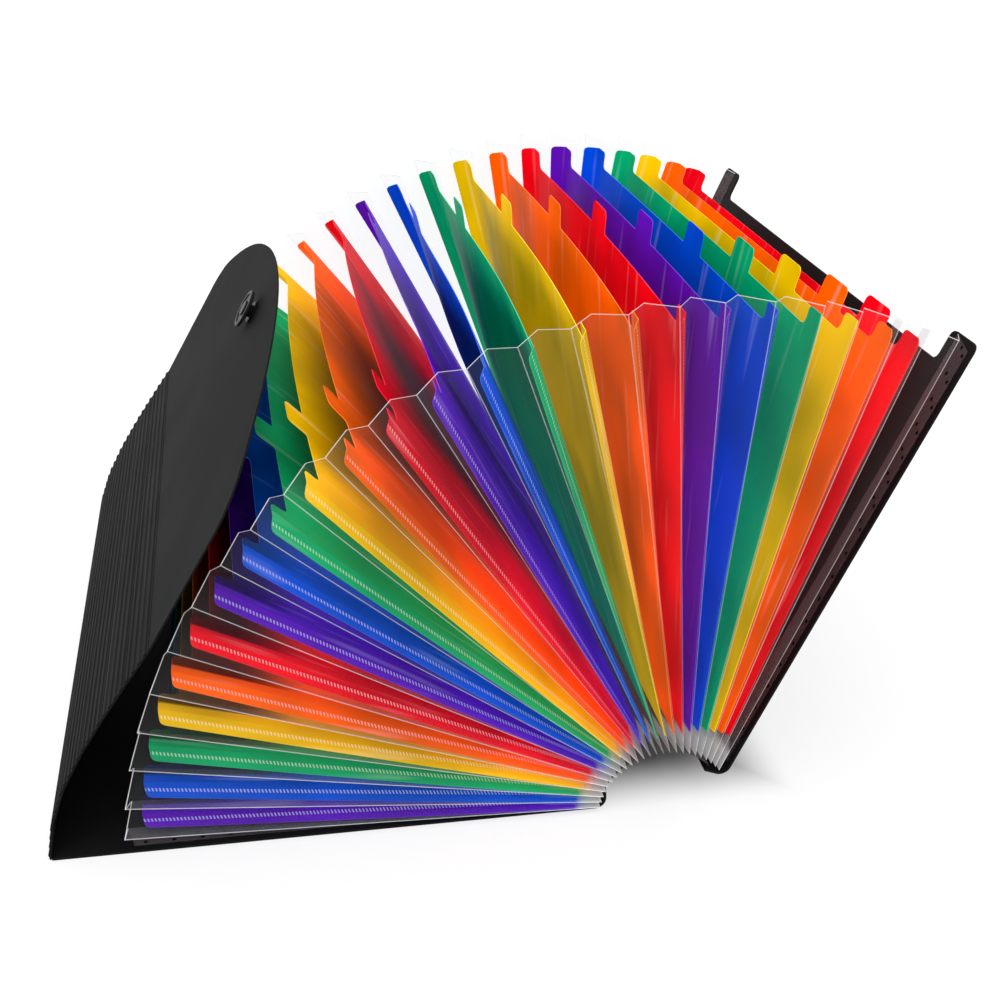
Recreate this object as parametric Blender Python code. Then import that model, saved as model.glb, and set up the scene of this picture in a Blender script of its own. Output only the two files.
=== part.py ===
"""Expanding file folder, opened as a fan: two black covers, 24 translucent dividers, clear pleated gussets
and a ribbed flap with its button. Metres, +Z up. X runs from the back cover's outer edge to the front cover,
Y along the folder's length with the near gusset at -Y."""
import math

import bmesh
import bpy
from mathutils import Matrix, Vector

# Overall sizes
HALF_LENGTH = 0.165
COVER_THICKNESS = 0.0012
SHEET_THICKNESS = 0.0004
FILM_THICKNESS = 0.0002
LINER_THICKNESS = 0.0003
CLEARANCE = 0.0003
OVERRUN = 0.002
CLOSED_TOP_PITCH = 0.0016
CLOSED_FOOT_PITCH = 0.0007
MITRE_SHARE = 0.35

# Fan: the circle of the gusset's top edge, and the arch that the pleats stand on at the spine
FAN_X = 0.096
FAN_Z = -0.0073
RIDGE_RADIUS = 0.2740
VALLEY_DROP = 0.0024
ARCH_X = 0.0855
ARCH_Z = -0.0005
ARCH_RADIUS = 0.0325
ARCH_GROWTH = 0.0025
ARCH_FIRST_DEG = 10.0
ARCH_LAST_DEG = 141.0
LINER_FIRST_DEG = 30.0
LINER_LAST_DEG = 128.0
FIRST_RIDGE_DEG = 3.5
POCKET_DEGS = (3.7, 4.6, 4.5, 4.5, 4.9, 5.2, 5.1, 4.5, 4.5, 5.0, 4.8, 5.0,
               4.9, 4.8, 4.9, 5.2, 4.6, 4.2, 4.7, 4.7, 3.7, 4.1, 3.0, 3.3)
DIVIDERS = len(POCKET_DEGS)

# Gusset pleats
VALLEY_Y = 0.149
PLEAT_WIDTH = 0.0197
PLEAT_ROWS = 4
END_FOLD_Y = 0.157
END_FLANGE_Y = 0.145
END_TOP_DROP = 0.004

# Dividers, measured down from the gusset's top edge
SHEET_DEPTH = 0.223
RECESS_DROP = 0.0145
EAR_DROP = 0.0050
EAR_CORNER_DROP = 0.0075
TAB_DROP = 0.0025
EAR_WIDTH = 0.0130
EAR_FILLET = 0.0040
CORNER_RADIUS = 0.0025
FLANGE_FOLD_SHARE = 0.33
FLANGE_EDGE_SHARE = 0.70
FLANGE_FOOT = 0.004
FLANGE_WIDTH_SHARES = (0.7, 1.0)
FLANGE_FALL_SHARES = (0.6, 1.5)
TAB_WIDTH = 0.026
TAB_ROUND = 0.0035
TAB_FILLET = 0.0015
TAB_STEP = 0.020
TAB_FIRST_Y = -0.112
TABS_PER_ROW = 12
ROUND_STEPS = 3

# Covers
BACK_OUTER_X = -0.2110
BACK_LIP_X = 0.0565
LIP_HEIGHT = 0.0120
LIP_BEND = 0.0050
LIP_CORNER = 0.0060
BEND_STEPS = 5
FRONT_FOOT = (0.1190, 0.0138)
FRONT_LEAN_DEG = 68.6
FRONT_HEIGHT = 0.2465
FRONT_EAR_WIDTH = 0.022
FRONT_RECESS = 0.0160
FRONT_CORNER = 0.0035

# Flap
STRIP_LENGTH = 0.0210
STRIP_DEGS = (81.0, 71.0, 63.0, 59.0, 57.0, 56.0)
STRIP_RIBS = 4
RIB_HEIGHT = 0.0006
RIB_SHARE = 0.5
STRIP_BASE = 0.0009
PANEL_DEG = 61.0
PANEL_SIDE = 0.077
PANEL_CROWN = 0.137
PANEL_CORNER = 0.012
PANEL_STEPS = 28

# Button
BUTTON_DROP = 0.027
DISC_RADIUS = 0.0102
DISC_THICKNESS = 0.0012
DISC_RIM = 0.0018
DISC_RIM_RISE = 0.0005
WASHER_RADIUS = 0.0060
WASHER_THICKNESS = 0.0008
RIVET_RADIUS = 0.0022
RIVET_HEAD_RADIUS = 0.0042
RIVET_HEAD = 0.0007
POST_RADIUS = 0.0034
POST_HEIGHT = 0.0024
ROUND_SIDES = 40

COLOURS = {
    "violet": (0.105, 0.022, 0.40),
    "blue": (0.000, 0.085, 0.50),
    "green": (0.000, 0.360, 0.170),
    "yellow": (1.000, 0.560, 0.000),
    "orange": (1.000, 0.170, 0.000),
    "red": (0.800, 0.008, 0.018),
    "black": (0.012, 0.012, 0.013),
    "clear": (0.86, 0.88, 0.90),
}
ORDER = ("violet", "blue", "green", "yellow", "orange", "red")


def around(x, z, radius, degrees):
    """A point in the XZ plane, at an angle that runs clockwise from -X."""
    a = math.radians(degrees)
    return Vector((x - radius * math.cos(a), z + radius * math.sin(a)))


def ridge_angles():
    angles = [FIRST_RIDGE_DEG]
    for step in POCKET_DEGS:
        angles.append(angles[-1] + step)
    return angles


def arch_point(place):
    """A point on the spine's arch; place runs from 1 at the first divider to DIVIDERS at the last."""
    share = (place - 1) / (DIVIDERS - 1)
    degrees = ARCH_FIRST_DEG + share * (ARCH_LAST_DEG - ARCH_FIRST_DEG)
    return around(ARCH_X, ARCH_Z, ARCH_RADIUS + share * ARCH_GROWTH, degrees)


def valley_line(k):
    """Bottom and top of valley k in the XZ plane, k from 1."""
    angles = ridge_angles()
    middle = (angles[k - 1] + angles[k]) / 2
    return arch_point(k), around(FAN_X, FAN_Z, RIDGE_RADIUS - VALLEY_DROP, middle)


def ridge_line(k):
    """Bottom and top of ridge k in the XZ plane, k from 1 to DIVIDERS + 1."""
    return arch_point(k - 0.5), around(FAN_X, FAN_Z, RIDGE_RADIUS, ridge_angles()[k - 1])


def pleat_depth(half_pitch):
    return math.sqrt(max(PLEAT_WIDTH**2 - half_pitch**2, (PLEAT_WIDTH / 2) ** 2))


def ridge_depths(k):
    """How far ridge k stands out from the valleys at its bottom and top."""
    low, high = ridge_line(k)
    neighbours = [valley_line(j) for j in (k - 1, k) if 1 <= j <= DIVIDERS]
    depths = []
    for end, point in ((0, low), (1, high)):
        spans = [(line[end] - point).length for line in neighbours]
        depths.append(pleat_depth(sum(spans) / len(spans)))
    return depths


class Frame:
    """The plane frame of divider k: s runs up its valley, a clockwise across it."""

    def __init__(self, k):
        self.low, self.high = valley_line(k)
        self.height = (self.high - self.low).length
        self.up = (self.high - self.low) / self.height
        self.across = Vector((self.up.y, -self.up.x))
        ridge = ridge_line(k)
        self.half = [abs((ridge[end] - (self.low, self.high)[end]).dot(self.across)) for end in (0, 1)]
        self.depth = ridge_depths(k)

    def place(self, s, a, y):
        p = self.low + self.up * s + self.across * a
        return Vector((p.x, y, p.y))

    def on_pleat(self, s, share, side):
        """A point inside the pleat face next to the ridge, clear of the film, at a share of its width."""
        ends = []
        inset = FILM_THICKNESS / 2 + CLEARANCE + SHEET_THICKNESS / 2
        for half, depth in zip(self.half, self.depth):
            width = math.hypot(half, depth)
            a = -share * half - inset * depth / width
            y = VALLEY_Y + share * depth - inset * half / width
            ends.append((a, y))
        t = s / self.height
        a = ends[0][0] + t * (ends[1][0] - ends[0][0])
        y = ends[0][1] + t * (ends[1][1] - ends[0][1])
        return a, side * y


def quarter(start_degrees, end_degrees, steps):
    return [math.radians(start_degrees + (end_degrees - start_degrees) * i / steps) for i in range(steps + 1)]


def newell(points):
    normal = Vector((0, 0, 0))
    for i, p in enumerate(points):
        q = points[(i + 1) % len(points)]
        normal += Vector(((p.y - q.y) * (p.z + q.z), (p.z - q.z) * (p.x + q.x), (p.x - q.x) * (p.y + q.y)))
    return normal


def thickened(points, faces, thickness):
    """A closed sheet of even thickness about an open surface."""
    touching = [[] for _ in points]
    for face in faces:
        normal = newell([points[i] for i in face]).normalized()
        for i in face:
            touching[i].append(normal)
    offsets = []
    for normals in touching:
        total = sum(normals, Vector((0, 0, 0))).normalized()
        offsets.append(total * (thickness / 2 / max(min(total.dot(n) for n in normals), MITRE_SHARE)))
    count = len(points)
    verts = [p + o for p, o in zip(points, offsets)] + [p - o for p, o in zip(points, offsets)]
    shell = [tuple(face) for face in faces] + [tuple(count + i for i in reversed(face)) for face in faces]
    edges = {}
    for face in faces:
        for i, a in enumerate(face):
            edges[(a, face[(i + 1) % len(face)])] = True
    for a, b in edges:
        if (b, a) not in edges:
            shell.append((b, a, count + a, count + b))
    return verts, shell


def material(name, colour, roughness, metallic=0.0, alpha=1.0):
    made = bpy.data.materials.get(name)
    if made:
        return made
    made = bpy.data.materials.new(name)
    made.use_nodes = True
    shader = made.node_tree.nodes["Principled BSDF"]
    shader.inputs["Base Color"].default_value = (*colour, 1.0)
    shader.inputs["Roughness"].default_value = roughness
    shader.inputs["Metallic"].default_value = metallic
    shader.inputs["Alpha"].default_value = alpha
    made.diffuse_color = (*colour, alpha)
    return made


def solid(name, verts, faces, surface, origin):
    """One object with its origin where its piece turns."""
    mesh = bpy.data.meshes.new(name)
    mesh.from_pydata([Vector(v) - Vector(origin) for v in verts], [], faces)
    grid = bmesh.new()
    grid.from_mesh(mesh)
    bmesh.ops.recalc_face_normals(grid, faces=grid.faces)
    grid.to_mesh(mesh)
    grid.free()
    mesh.materials.append(surface)
    made = bpy.data.objects.new(name, mesh)
    made.location = origin
    bpy.context.collection.objects.link(made)
    return made


def bent_sheet(path, columns, end_of, thickness):
    """A sheet along a path of (x, z) points, extruded along Y; its last row ends where end_of(y) says."""
    points = []
    last = path[-1] - path[-2]
    reach = last.length
    for y in columns:
        for p in path[:-1]:
            points.append(Vector((p.x, y, p.y)))
        p = path[-2] + last * (end_of(y) / reach)
        points.append(Vector((p.x, y, p.y)))
    rows = len(path)
    faces = []
    for c in range(len(columns) - 1):
        for r in range(rows - 1):
            a = c * rows + r
            faces.append((a, a + 1, a + rows + 1, a + rows))
    return thickened(points, faces, thickness)


def profile_height(y, corners):
    """Height of a stepped edge at y, where corners is a list of (y, height) in order."""
    for (ya, ha), (yb, hb) in zip(corners, corners[1:]):
        if ya <= y <= yb:
            return ha + (hb - ha) * (y - ya) / (yb - ya) if yb > ya else hb
    return corners[-1][1] if y > corners[-1][0] else corners[0][1]


def rounded_step(y, low, high, fillet, radius, rising):
    """Points of an upright side between two heights, filleted at its foot and rounded at its head."""
    sign = 1 if rising else -1
    foot = [(y - sign * fillet * (1 - math.sin(a)), low + fillet * (1 - math.cos(a)))
            for a in quarter(0, 90, ROUND_STEPS)]
    head = [(y + sign * radius * (1 - math.cos(a)), high - radius + radius * math.sin(a))
            for a in quarter(0, 90, ROUND_STEPS)]
    slant = CLEARANCE / 4
    points = [(py + sign * slant * (h - low) / (high - low), h) for py, h in foot + head]
    return points if rising else points[::-1]


def divider_outline(k, frame):
    """The top edge of divider k from near fold to far fold, as (y, height above the valley's foot)."""
    top = frame.height
    recess = top - RECESS_DROP
    ear = top - EAR_DROP
    tab = top - TAB_DROP
    fold = abs(frame.on_pleat(top, FLANGE_FOLD_SHARE, -1)[1])
    centre = TAB_FIRST_Y + TAB_STEP * ((DIVIDERS - k) % TABS_PER_ROW)
    near = fold - EAR_WIDTH
    edge = [(-fold, ear)]
    edge += rounded_step(-near, recess, ear, EAR_FILLET, CORNER_RADIUS, False)
    edge += rounded_step(centre - TAB_WIDTH / 2, recess, tab, TAB_FILLET, TAB_ROUND, True)
    edge += rounded_step(centre + TAB_WIDTH / 2, recess, tab, TAB_FILLET, TAB_ROUND, False)
    edge += rounded_step(near, recess, ear, EAR_FILLET, CORNER_RADIUS, True)
    edge.append((fold, ear))
    return edge


def divider(k):
    """A divider with its recessed edge, ears and tab, and a flange folded into the gusset at each end."""
    frame = Frame(k)
    foot = frame.height - SHEET_DEPTH
    edge = divider_outline(k, frame)
    points = []
    faces = []

    def add(s, a, y):
        points.append(frame.place(s, a, y))
        return len(points) - 1

    def sheet_offset(s):
        return frame.on_pleat(s, FLANGE_FOLD_SHARE, -1)[0]

    folds = {}
    for side in (-1, 1):
        column = []
        for r in range(PLEAT_ROWS + 1):
            s = foot + (edge[0][1] - foot) * r / PLEAT_ROWS
            a, y = frame.on_pleat(s, FLANGE_FOLD_SHARE, side)
            column.append(add(s, a, y))
        folds[side] = column
    inner = []
    for y, s in edge[1:-1]:
        inner.append((add(foot, sheet_offset(foot), y), add(s, sheet_offset(s), y)))
    near, far = folds[-1], folds[1]
    faces.append(tuple(reversed(near)) + (inner[0][0], inner[0][1]))
    for (a, b), (c, d) in zip(inner, inner[1:]):
        faces.append((b, a, c, d))
    faces.append((inner[-1][1], inner[-1][0]) + tuple(far))
    run = FLANGE_EDGE_SHARE - FLANGE_FOLD_SHARE
    for side in (-1, 1):
        column = folds[side]
        for width_share, fall_share in zip(FLANGE_WIDTH_SHARES, FLANGE_FALL_SHARES):
            share = FLANGE_FOLD_SHARE + run * width_share
            top = frame.height - EAR_DROP - (EAR_CORNER_DROP - EAR_DROP) * fall_share
            low = foot + FLANGE_FOOT * width_share
            fresh = []
            for r in range(PLEAT_ROWS + 1):
                s = low + (top - low) * r / PLEAT_ROWS
                a, y = frame.on_pleat(s, share, side)
                fresh.append(add(s, a, y))
            for r in range(PLEAT_ROWS):
                halves = [(column[r], column[r + 1], fresh[r + 1]), (column[r], fresh[r + 1], fresh[r])]
                faces += halves if side < 0 else [half[::-1] for half in halves]
            column = fresh
    return thickened(points, faces, SHEET_THICKNESS)


def heading(direction):
    """Angle of a direction in the XZ plane, in radians clockwise from -X."""
    return math.atan2(direction.y, -direction.x)


def sheet_top(k):
    """Top of divider k's sheet in the XZ plane, and the direction that the sheet points in."""
    frame = Frame(k)
    ends = []
    for s in (0.0, frame.height):
        ends.append(frame.low + frame.up * s + frame.across * frame.on_pleat(s, FLANGE_FOLD_SHARE, -1)[0])
    return ends[1], (ends[1] - ends[0]).normalized()


def closing_angle(k):
    """How far divider k turns on the one before it from open to closed."""
    rest = heading(sheet_top(k)[1]) - heading(sheet_top(k - 1)[1])
    return rest - math.atan2(CLOSED_TOP_PITCH - CLOSED_FOOT_PITCH, SHEET_DEPTH)


def hinge_point(k):
    """Where divider k turns on the one before it, so that they close to the closed pitches, tops level."""
    if k == 1:
        return arch_point(1)
    lower, lower_up = sheet_top(k - 1)
    upper, _ = sheet_top(k)
    turn = Matrix.Rotation(closing_angle(k), 2)
    closed = lower + Vector((lower_up.y, -lower_up.x)) * CLOSED_TOP_PITCH
    return (Matrix.Identity(2) - turn).inverted() @ (closed - turn @ upper)


def cover_frame():
    """Foot of the front cover's plane, its up direction, and its inward direction."""
    lean = math.radians(FRONT_LEAN_DEG)
    up = Vector((math.cos(lean), math.sin(lean)))
    return Vector(FRONT_FOOT), up, Vector((-up.y, up.x))


def gusset_lines():
    """The pleat lines from the back cover to the front cover, each as its bottom and top (x, y, z) at +Y."""
    lift = COVER_THICKNESS + CLEARANCE + FILM_THICKNESS / 2
    low, high = ridge_line(1)
    start = BACK_LIP_X - COVER_THICKNESS / 2 - LIP_BEND
    lines = []
    for y in (END_FLANGE_Y, END_FOLD_Y):
        drop = END_TOP_DROP if y == END_FLANGE_Y else 0.0
        lines.append((Vector((start, y, lift)), Vector((high.x + drop, y, lift))))
    for k in range(1, DIVIDERS + 2):
        low, high = ridge_line(k)
        out = ridge_depths(k)
        lines.append((Vector((low.x, VALLEY_Y + out[0], low.y)), Vector((high.x, VALLEY_Y + out[1], high.y))))
        if k <= DIVIDERS:
            low, high = valley_line(k)
            lines.append((Vector((low.x, VALLEY_Y, low.y)), Vector((high.x, VALLEY_Y, high.y))))
    foot, up, inward = cover_frame()
    base = foot + inward * (COVER_THICKNESS / 2 + CLEARANCE + FILM_THICKNESS / 2)
    low, high = ridge_line(DIVIDERS + 1)
    reach = (high - foot).dot(up)
    first = LIP_BEND + COVER_THICKNESS
    for y in (END_FOLD_Y, END_FLANGE_Y):
        drop = END_TOP_DROP if y == END_FLANGE_Y else 0.0
        a = base + up * first
        b = base + up * (reach - drop)
        lines.append((Vector((a.x, y, a.y)), Vector((b.x, y, b.y))))
    return lines


def gusset(side):
    """One pleated gusset. Each face is split from its ridge's foot to its valley's head, clear of sheets."""
    lines = gusset_lines()
    rows = PLEAT_ROWS + 1
    points = []
    for low, high in lines:
        for r in range(rows):
            p = low.lerp(high, r / PLEAT_ROWS)
            points.append(Vector((p.x, side * p.y, p.z)))
    faces = []
    for c in range(len(lines) - 1):
        ridge_first = c % 2 == 0
        for r in range(PLEAT_ROWS):
            a = c * rows + r
            b = a + rows
            if ridge_first:
                faces += [(a, a + 1, b + 1), (a, b + 1, b)]
            else:
                faces += [(a, a + 1, b), (a + 1, b + 1, b)]
    return thickened(points, faces, FILM_THICKNESS)


def liner():
    """The smooth film that arches over the spine from one lip to the other."""
    path = []
    foot, up, inward = cover_frame()
    gap = COVER_THICKNESS / 2 + CLEARANCE + LINER_THICKNESS / 2
    x = BACK_LIP_X + gap
    path.append(Vector((x, LIP_BEND + COVER_THICKNESS)))
    path.append(Vector((x, LIP_HEIGHT)))
    radius = ARCH_RADIUS - 2 * CLEARANCE - LINER_THICKNESS
    steps = 4 * BEND_STEPS
    for i in range(steps + 1):
        degrees = LINER_FIRST_DEG + (LINER_LAST_DEG - LINER_FIRST_DEG) * i / steps
        path.append(around(ARCH_X, ARCH_Z, radius, degrees))
    below = foot - up * gap
    path.append(foot + inward * (LIP_HEIGHT + 2 * gap))
    path.append(below + inward * (LIP_HEIGHT + gap / 2))
    path.append(below + inward * LIP_BEND)
    return path


def back_path():
    """Mid-surface of the back cover from its outer edge to the head of its lip."""
    mid = COVER_THICKNESS / 2
    path = [Vector((BACK_OUTER_X, mid))]
    for a in quarter(0, 90, BEND_STEPS):
        x = BACK_LIP_X - LIP_BEND + LIP_BEND * math.sin(a)
        path.append(Vector((x, mid + LIP_BEND * (1 - math.cos(a)))))
    path.append(Vector((BACK_LIP_X, LIP_HEIGHT)))
    return path


def front_path():
    """Mid-surface of the front cover from the head of its lip to its top edge."""
    foot, up, inward = cover_frame()
    path = [foot + inward * LIP_HEIGHT]
    for a in quarter(0, 90, BEND_STEPS):
        path.append(foot + inward * (LIP_BEND * (1 - math.sin(a))) + up * (LIP_BEND * (1 - math.cos(a))))
    path.append(foot + up * FRONT_HEIGHT)
    return path


def lip_columns():
    columns = [-HALF_LENGTH + LIP_CORNER * (1 - math.cos(a)) for a in quarter(0, 90, ROUND_STEPS)]
    return columns + [-y for y in reversed(columns)]


def lip_end(straight):
    """End of the lip's last row, rounded at both of the cover's ends."""
    def end_of(y):
        inside = max(abs(y) - (HALF_LENGTH - LIP_CORNER), 0.0)
        return straight - LIP_CORNER + math.sqrt(max(LIP_CORNER**2 - inside**2, 0.0))
    return end_of


def back_cover():
    path = back_path()
    straight = (path[-1] - path[-2]).length
    return bent_sheet(path, lip_columns(), lip_end(straight), COVER_THICKNESS)


def front_cover():
    path = front_path()
    full = (path[-1] - path[-2]).length
    recess = full - FRONT_RECESS
    inner = HALF_LENGTH - FRONT_EAR_WIDTH
    rounding = [(-HALF_LENGTH + FRONT_CORNER * (1 - math.cos(a)), full - FRONT_CORNER * (1 - math.sin(a)))
                for a in quarter(0, 90, ROUND_STEPS)]
    edge = rounding + rounded_step(-inner, recess, full, FRONT_CORNER, FRONT_CORNER, False)
    edge += [(-y, h) for y, h in reversed(edge)]
    return bent_sheet(path, [y for y, _ in edge], lambda y: profile_height(y, edge), COVER_THICKNESS)


def strip_points():
    """Points where the flap's ribbed strips meet, from the back cover's outer edge."""
    points = [Vector((BACK_OUTER_X - CLEARANCE - COVER_THICKNESS / 2, COVER_THICKNESS / 2))]
    for degrees in STRIP_DEGS:
        a = math.radians(degrees)
        points.append(points[-1] + Vector((math.cos(a), math.sin(a))) * STRIP_LENGTH)
    return points


def strip(i):
    """One ribbed strip of the flap: a flat inner face, and ribs along its outer face."""
    start = strip_points()[i]
    a = math.radians(STRIP_DEGS[i])
    along = Vector((math.cos(a), math.sin(a)))
    out = Vector((-along.y, along.x))
    length = STRIP_LENGTH - CLEARANCE
    half = STRIP_BASE / 2
    section = [start + along * CLEARANCE - out * half, start + along * length - out * half]
    pitch = (length - CLEARANCE) / STRIP_RIBS
    crest = pitch * RIB_SHARE / 2
    top = []
    for rib in range(STRIP_RIBS):
        middle = CLEARANCE + pitch * (rib + 0.5)
        for at, rise in ((-crest, 0.0), (-crest / 2, RIB_HEIGHT), (crest / 2, RIB_HEIGHT), (crest, 0.0)):
            top.append(start + along * (middle + at) + out * (half + rise))
    top.insert(0, start + along * CLEARANCE + out * half)
    top.append(start + along * length + out * half)
    section += top[::-1]
    count = len(section)
    verts = [Vector((p.x, y, p.y)) for y in (-HALF_LENGTH, HALF_LENGTH) for p in section]
    faces = [tuple(range(count)), tuple(reversed(range(count, 2 * count)))]
    faces += [(j, (j + 1) % count, count + (j + 1) % count, count + j) for j in range(count)]
    return verts, faces


def panel_frame():
    start = strip_points()[-1]
    a = math.radians(PANEL_DEG)
    along = Vector((math.cos(a), math.sin(a)))
    return start, along, Vector((-along.y, along.x))


def panel_reach(y):
    """How far the flap's panel reaches at y: a shallow arc with rounded corners."""
    rise = PANEL_CROWN - PANEL_SIDE
    radius = (HALF_LENGTH**2 + rise**2) / (2 * rise)
    reach = PANEL_CROWN - radius + math.sqrt(radius**2 - y**2)
    inside = max(abs(y) - (HALF_LENGTH - PANEL_CORNER), 0.0)
    return reach - (PANEL_CORNER - math.sqrt(max(PANEL_CORNER**2 - inside**2, 0.0)))


def panel():
    start, along, _ = panel_frame()
    columns = [-HALF_LENGTH + PANEL_CORNER * (1 - math.cos(a)) for a in quarter(0, 90, ROUND_STEPS)]
    limit = -columns[-1]
    columns += [-limit + 2 * limit * i / PANEL_STEPS for i in range(1, PANEL_STEPS)]
    columns += [-y for y in reversed(columns[: ROUND_STEPS + 1])]
    first = start + along * CLEARANCE
    path = [first, first + along * PANEL_CROWN]
    return bent_sheet(path, columns, panel_reach, STRIP_BASE)


def turned(section, base, axis):
    """A turned solid from (radius, height) points about an axis from base, its ends on the axis."""
    side = axis.orthogonal().normalized()
    other = axis.cross(side)
    verts = [base + axis * section[0][1]]
    rings = section[1:-1]
    for radius, height in rings:
        for i in range(ROUND_SIDES):
            a = 2 * math.pi * i / ROUND_SIDES
            verts.append(base + axis * height + (side * math.cos(a) + other * math.sin(a)) * radius)
    verts.append(base + axis * section[-1][1])
    last = len(verts) - 1
    faces = []
    for i in range(ROUND_SIDES):
        j = (i + 1) % ROUND_SIDES
        faces.append((0, 1 + j, 1 + i))
        for r in range(len(rings) - 1):
            a = 1 + r * ROUND_SIDES
            b = a + ROUND_SIDES
            faces.append((a + i, a + j, b + j, b + i))
        faces.append((last, last - ROUND_SIDES + i, last - ROUND_SIDES + j))
    return verts, faces


def ringed(section, base, axis):
    """A turned ring from a closed section of (radius, height) points."""
    side = axis.orthogonal().normalized()
    other = axis.cross(side)
    count = len(section)
    verts = []
    for i in range(ROUND_SIDES):
        a = 2 * math.pi * i / ROUND_SIDES
        for radius, height in section:
            verts.append(base + axis * height + (side * math.cos(a) + other * math.sin(a)) * radius)
    faces = []
    for i in range(ROUND_SIDES):
        j = (i + 1) % ROUND_SIDES
        for r in range(count):
            q = (r + 1) % count
            faces.append((i * count + r, i * count + q, j * count + q, j * count + r))
    return verts, faces


def drilled(target, base, axis, radius, reach):
    """Cuts a round hole through a piece."""
    low, high = -reach, reach
    section = [(0.0, low), (radius, low), (radius, high), (0.0, high)]
    verts, faces = turned(section, base, axis)
    cutter = solid("button_hole_cutter", verts, faces, target.data.materials[0], (0, 0, 0))
    cutter.hide_render = True
    cutter.display_type = "WIRE"
    cut = target.modifiers.new("button_hole", "BOOLEAN")
    cut.operation = "DIFFERENCE"
    cut.solver = "EXACT"
    cut.object = cutter


def button(surface, origin, hinge_panel):
    """Washer, disc and rivet of the flap's button; the rivet passes through the panel and the disc."""
    start, along, out = panel_frame()
    centre = start + along * (PANEL_CROWN - BUTTON_DROP)
    base = Vector((centre.x, 0.0, centre.y))
    axis = Vector((out.x, 0.0, out.y))
    bore = RIVET_RADIUS + CLEARANCE / 2
    half = STRIP_BASE / 2
    drilled(hinge_panel, base, axis, bore, half + OVERRUN)
    low = half + CLEARANCE / 2
    high = low + WASHER_THICKNESS
    top = high + POST_HEIGHT
    washer = [(bore, low), (WASHER_RADIUS, low), (WASHER_RADIUS, low + WASHER_THICKNESS / 2),
              (WASHER_RADIUS - WASHER_THICKNESS / 2, high), (POST_RADIUS, high), (POST_RADIUS, top),
              (bore, top)]
    disc_low = top + CLEARANCE / 2
    disc_high = disc_low + DISC_THICKNESS
    bevel = DISC_THICKNESS / 3
    disc = [(bore, disc_low), (DISC_RADIUS - bevel, disc_low), (DISC_RADIUS, disc_low + bevel),
            (DISC_RADIUS, disc_high), (DISC_RADIUS - bevel, disc_high + DISC_RIM_RISE),
            (DISC_RADIUS - DISC_RIM, disc_high + DISC_RIM_RISE), (DISC_RADIUS - DISC_RIM - bevel, disc_high),
            (bore, disc_high)]
    head = disc_high + CLEARANCE / 2
    under = -half - CLEARANCE / 2
    rivet = [(0.0, under - RIVET_HEAD), (RIVET_HEAD_RADIUS - RIVET_HEAD / 2, under - RIVET_HEAD),
             (RIVET_HEAD_RADIUS, under), (RIVET_RADIUS, under), (RIVET_RADIUS, head),
             (RIVET_HEAD_RADIUS, head), (RIVET_HEAD_RADIUS - RIVET_HEAD / 2, head + RIVET_HEAD),
             (0.0, head + RIVET_HEAD)]
    solid("button_washer", *ringed(washer, base, axis), surface, origin)
    solid("button_disc", *ringed(disc, base, axis), surface, origin)
    solid("button_rivet", *turned(rivet, base, axis), surface, origin)


def main():
    for item in list(bpy.data.objects):
        bpy.data.objects.remove(item)
    black = material("black_cover", COLOURS["black"], 0.45)
    matte = material("black_flap", COLOURS["black"], 0.6)
    gloss = material("black_button", COLOURS["black"], 0.3)
    clear = material("clear_film", COLOURS["clear"], 0.12, alpha=0.3)
    sheets = {name: material(f"{name}_sheet", COLOURS[name], 0.15, alpha=0.85) for name in ORDER}
    solid("back_cover", *back_cover(), black, (BACK_OUTER_X, 0, COVER_THICKNESS / 2))
    foot, _, _ = cover_frame()
    solid("front_cover", *front_cover(), black, (foot.x, 0, foot.y))
    for k in range(1, DIVIDERS + 1):
        hinge = hinge_point(k)
        colour = ORDER[(k - 1) % len(ORDER)]
        solid(f"divider_{k:02d}_{colour}", *divider(k), sheets[colour], (hinge.x, 0, hinge.y))
    solid("near_gusset", *gusset(-1), clear, (ARCH_X, 0, 0))
    solid("far_gusset", *gusset(1), clear, (ARCH_X, 0, 0))
    path = liner()
    half = HALF_LENGTH - 2 * CLEARANCE
    film = bent_sheet(path, [-half, half], lambda y: (path[-1] - path[-2]).length, LINER_THICKNESS)
    solid("bottom_liner", *film, clear, (ARCH_X, 0, 0))
    hinges = strip_points()
    for i, p in enumerate(hinges[:-1]):
        solid(f"flap_strip_{i + 1}", *strip(i), matte, (p.x, 0, p.y))
    hinge = (hinges[-1].x, 0, hinges[-1].y)
    made = solid("flap_panel", *panel(), matte, hinge)
    button(gloss, hinge, made)


main()
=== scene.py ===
# %% [markdown]
# # An expanding file folder, dressed
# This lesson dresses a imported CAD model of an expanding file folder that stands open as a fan. The CAD gives the
# places and the moving bodies; here each visible surface gets its real thickness, bends and finish.
# Work goes from the measures to the finishes, then to the coloured sheets, the clear film, the covers and the flap,
# and last to the floor, the lamps and the camera.

import math

import bpy
from mathutils import Matrix, Vector


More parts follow.
